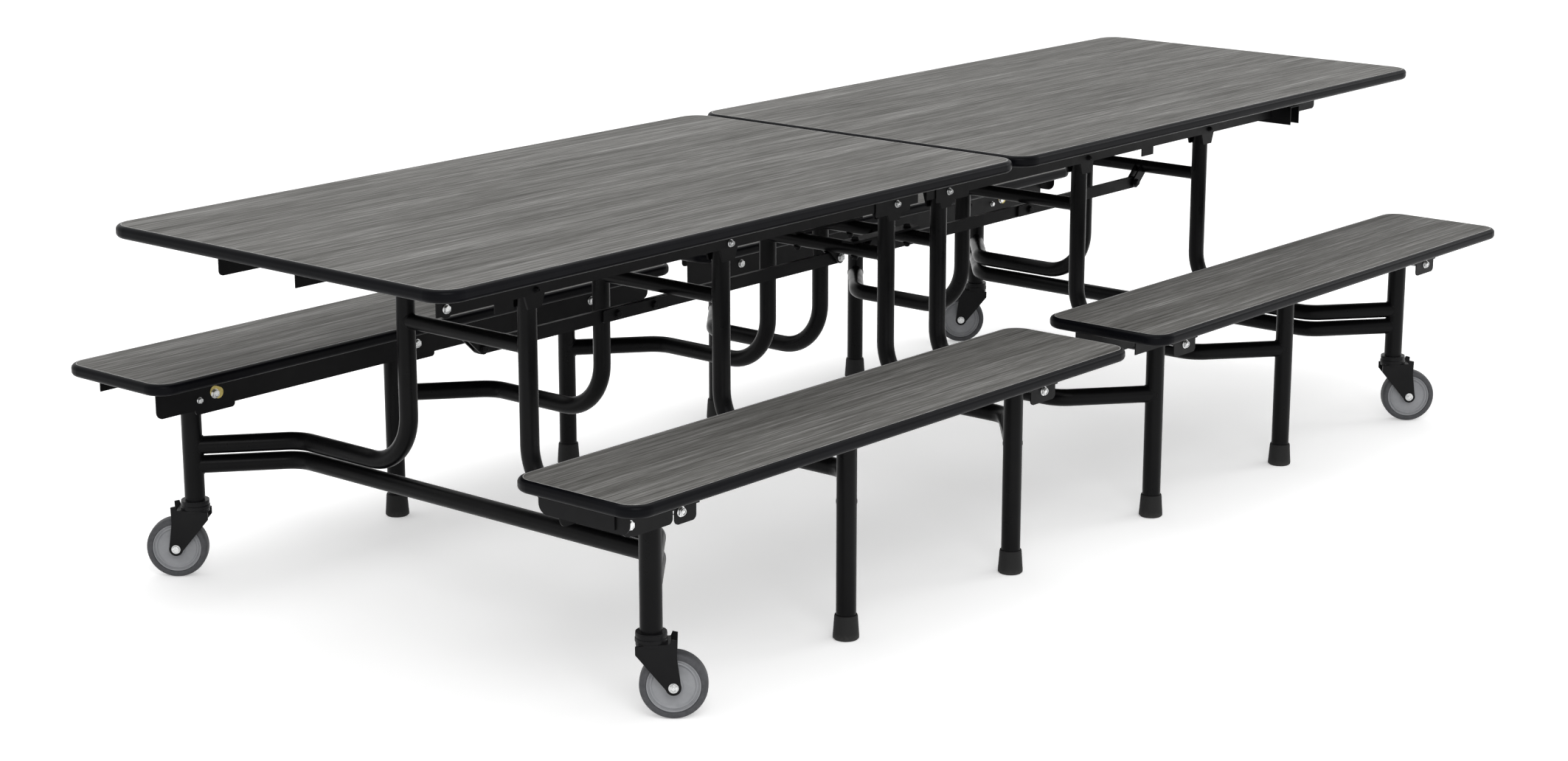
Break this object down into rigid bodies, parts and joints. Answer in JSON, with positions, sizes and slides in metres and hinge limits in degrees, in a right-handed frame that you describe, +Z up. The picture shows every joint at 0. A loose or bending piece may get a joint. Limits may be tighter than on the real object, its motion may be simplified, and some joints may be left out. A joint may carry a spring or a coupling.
{
  "type": "folding cafeteria table",
  "caption": "Long folding table on rolling tubular frames, with a split top and benches hinged along both sides.",
  "frame": {"origin": "on the floor under the middle of the open table", "axes": "+X along the table, +Y across it, +Z up"},
  "size_m": [3.048, 1.43, 0.737],
  "materials": {
    "laminate": "matt grey woodgrain laminate",
    "edge_band": "black moulded edge, slight sheen",
    "frame_black": "satin black powder coat",
    "bolt_steel": "bright zinc plate",
    "foot_rubber": "matt black",
    "tread": "matt dark grey",
    "wheel_centre": "matt grey",
    "caster_black": "satin black"
  },
  "bodies": {
    "caster_frame_left": {"caster_frame_left": "frame_black"},
    "top_left": {"top_board_left": "laminate", "top_band_left": "edge_band", "top_rail_left_near": "frame_black", "top_rail_left_far": "frame_black", "top_tie_left": "frame_black", "top_bolts_left": "bolt_steel"},
    "top_right": {"top_board_right": "laminate", "top_band_right": "edge_band", "top_rail_right_near": "frame_black", "top_rail_right_far": "frame_black", "top_tie_right": "frame_black", "top_bolts_right": "bolt_steel", "release_bar": "frame_black"},
    "middle_frame_left": {"middle_frame_left": "frame_black", "feet_middle_left": "foot_rubber"},
    "middle_frame_right": {"middle_frame_right": "frame_black", "feet_middle_right": "foot_rubber"},
    "caster_frame_right": {"caster_frame_right": "frame_black"},
    "centre_carriage": {"centre_frame_left": "frame_black", "centre_frame_right": "frame_black", "tie_plates": "frame_black", "tie_bolts": "bolt_steel", "feet_centre": "foot_rubber"},
    "link_bar_left": {"link_bar_left": "frame_black", "link_pins_left": "bolt_steel"},
    "link_bar_right": {"link_bar_right": "frame_black", "link_pins_right": "bolt_steel"},
    "bench_left_near": {"bench_board_left_near": "laminate", "bench_band_left_near": "edge_band", "bench_channel_left_near": "frame_black", "bench_bolts_left_near": "bolt_steel"},
    "fork_left_near": {"caster_fork_left_near": "caster_black", "caster_axle_left_near": "bolt_steel"},
    "wheel_left_near": {"caster_hub_left_near": "wheel_centre", "caster_tyre_left_near": "tread"},
    "bench_left_far": {"bench_board_left_far": "laminate", "bench_band_left_far": "edge_band", "bench_channel_left_far": "frame_black", "bench_bolts_left_far": "bolt_steel"},
    "fork_left_far": {"caster_fork_left_far": "caster_black", "caster_axle_left_far": "bolt_steel"},
    "wheel_left_far": {"caster_hub_left_far": "wheel_centre", "caster_tyre_left_far": "tread"},
    "bench_right_near": {"bench_board_right_near": "laminate", "bench_band_right_near": "edge_band", "bench_channel_right_near": "frame_black", "bench_bolts_right_near": "bolt_steel"},
    "fork_right_near": {"caster_fork_right_near": "caster_black", "caster_axle_right_near": "bolt_steel"},
    "wheel_right_near": {"caster_hub_right_near": "wheel_centre", "caster_tyre_right_near": "tread"},
    "bench_right_far": {"bench_board_right_far": "laminate", "bench_band_right_far": "edge_band", "bench_channel_right_far": "frame_black", "bench_bolts_right_far": "bolt_steel"},
    "fork_right_far": {"caster_fork_right_far": "caster_black", "caster_axle_right_far": "bolt_steel"},
    "wheel_right_far": {"caster_hub_right_far": "wheel_centre", "caster_tyre_right_far": "tread"}
  },
  "joints": [
    {"name": "fold", "type": "hinge", "parent": "caster_frame_left", "child": "top_left", "pos_m": [-1.079, 0, 0.632], "axis": [0, -1, 0], "range_deg": [0, 80]},
    {"name": "fold_middle_left", "type": "hinge", "parent": "top_left", "child": "middle_frame_left", "pos_m": [-0.575, 0, 0.632], "axis": [0, -1, 0], "range_deg": [-80, 0]},
    {"name": "fold_centre_left", "type": "hinge", "parent": "top_left", "child": "centre_carriage", "pos_m": [-0.084, 0, 0.632], "axis": [0, -1, 0], "range_deg": [-80, 0]},
    {"name": "fold_centre_right", "type": "hinge", "parent": "centre_carriage", "child": "top_right", "pos_m": [0.084, 0, 0.632], "axis": [0, 1, 0], "range_deg": [0, 80]},
    {"name": "fold_middle_right", "type": "hinge", "parent": "top_right", "child": "middle_frame_right", "pos_m": [0.575, 0, 0.632], "axis": [0, 1, 0], "range_deg": [-80, 0]},
    {"name": "fold_caster_right", "type": "hinge", "parent": "top_right", "child": "caster_frame_right", "pos_m": [1.047, 0, 0.632], "axis": [0, 1, 0], "range_deg": [-80, 0]},
    {"name": "fold_link_left", "type": "hinge", "parent": "caster_frame_left", "child": "link_bar_left", "pos_m": [-1.044, 0, 0.496], "axis": [0, -1, 0], "range_deg": [0, 80]},
    {"name": "fold_link_right", "type": "hinge", "parent": "centre_carriage", "child": "link_bar_right", "pos_m": [0.049, 0, 0.496], "axis": [0, 1, 0], "range_deg": [0, 80]},
    {"name": "fold_bench_left_near", "type": "hinge", "parent": "caster_frame_left", "child": "bench_left_near", "pos_m": [-1.233, -0.5775, 0.364], "axis": [0, -1, 0], "range_deg": [0, 80]},
    {"name": "fold_bench_right_near", "type": "hinge", "parent": "centre_carriage", "child": "bench_right_near", "pos_m": [0.238, -0.5775, 0.364], "axis": [0, 1, 0], "range_deg": [0, 80]},
    {"name": "fold_bench_left_far", "type": "hinge", "parent": "caster_frame_left", "child": "bench_left_far", "pos_m": [-1.233, 0.5775, 0.364], "axis": [0, -1, 0], "range_deg": [0, 80]},
    {"name": "fold_bench_right_far", "type": "hinge", "parent": "centre_carriage", "child": "bench_right_far", "pos_m": [0.238, 0.5775, 0.364], "axis": [0, 1, 0], "range_deg": [0, 80]},
    {"name": "swivel_left_near", "type": "hinge", "parent": "caster_frame_left", "child": "fork_left_near", "pos_m": [-1.233, -0.5775, 0.152], "axis": [0, 0, 1], "continuous": true},
    {"name": "roll_left_near", "type": "hinge", "parent": "fork_left_near", "child": "wheel_left_near", "pos_m": [-1.20938, -0.60467, 0.057], "axis": [0.7547, 0.6561, 0], "continuous": true},
    {"name": "swivel_left_far", "type": "hinge", "parent": "caster_frame_left", "child": "fork_left_far", "pos_m": [-1.233, 0.5775, 0.152], "axis": [0, 0, 1], "continuous": true},
    {"name": "roll_left_far", "type": "hinge", "parent": "fork_left_far", "child": "wheel_left_far", "pos_m": [-1.25662, 0.60467, 0.057], "axis": [-0.7547, -0.6561, 0], "continuous": true},
    {"name": "swivel_right_near", "type": "hinge", "parent": "caster_frame_right", "child": "fork_right_near", "pos_m": [1.201, -0.5775, 0.152], "axis": [0, 0, 1], "continuous": true},
    {"name": "roll_right_near", "type": "hinge", "parent": "fork_right_near", "child": "wheel_right_near", "pos_m": [1.22462, -0.60467, 0.057], "axis": [0.7547, 0.6561, 0], "continuous": true},
    {"name": "swivel_right_far", "type": "hinge", "parent": "caster_frame_right", "child": "fork_right_far", "pos_m": [1.201, 0.5775, 0.152], "axis": [0, 0, 1], "continuous": true},
    {"name": "roll_right_far", "type": "hinge", "parent": "fork_right_far", "child": "wheel_right_far", "pos_m": [1.17738, 0.60467, 0.057], "axis": [-0.7547, -0.6561, 0], "continuous": true}
  ],
  "couplings": [
    {"joint": "fold_middle_left", "follows": "fold", "ratio": -1},
    {"joint": "fold_centre_left", "follows": "fold", "ratio": -1},
    {"joint": "fold_centre_right", "follows": "fold", "ratio": 1},
    {"joint": "fold_middle_right", "follows": "fold", "ratio": -1},
    {"joint": "fold_caster_right", "follows": "fold", "ratio": -1},
    {"joint": "fold_link_left", "follows": "fold", "ratio": 1},
    {"joint": "fold_link_right", "follows": "fold", "ratio": 1},
    {"joint": "fold_bench_left_near", "follows": "fold", "ratio": 1},
    {"joint": "fold_bench_right_near", "follows": "fold", "ratio": 1},
    {"joint": "fold_bench_left_far", "follows": "fold", "ratio": 1},
    {"joint": "fold_bench_right_far", "follows": "fold", "ratio": 1}
  ]
}
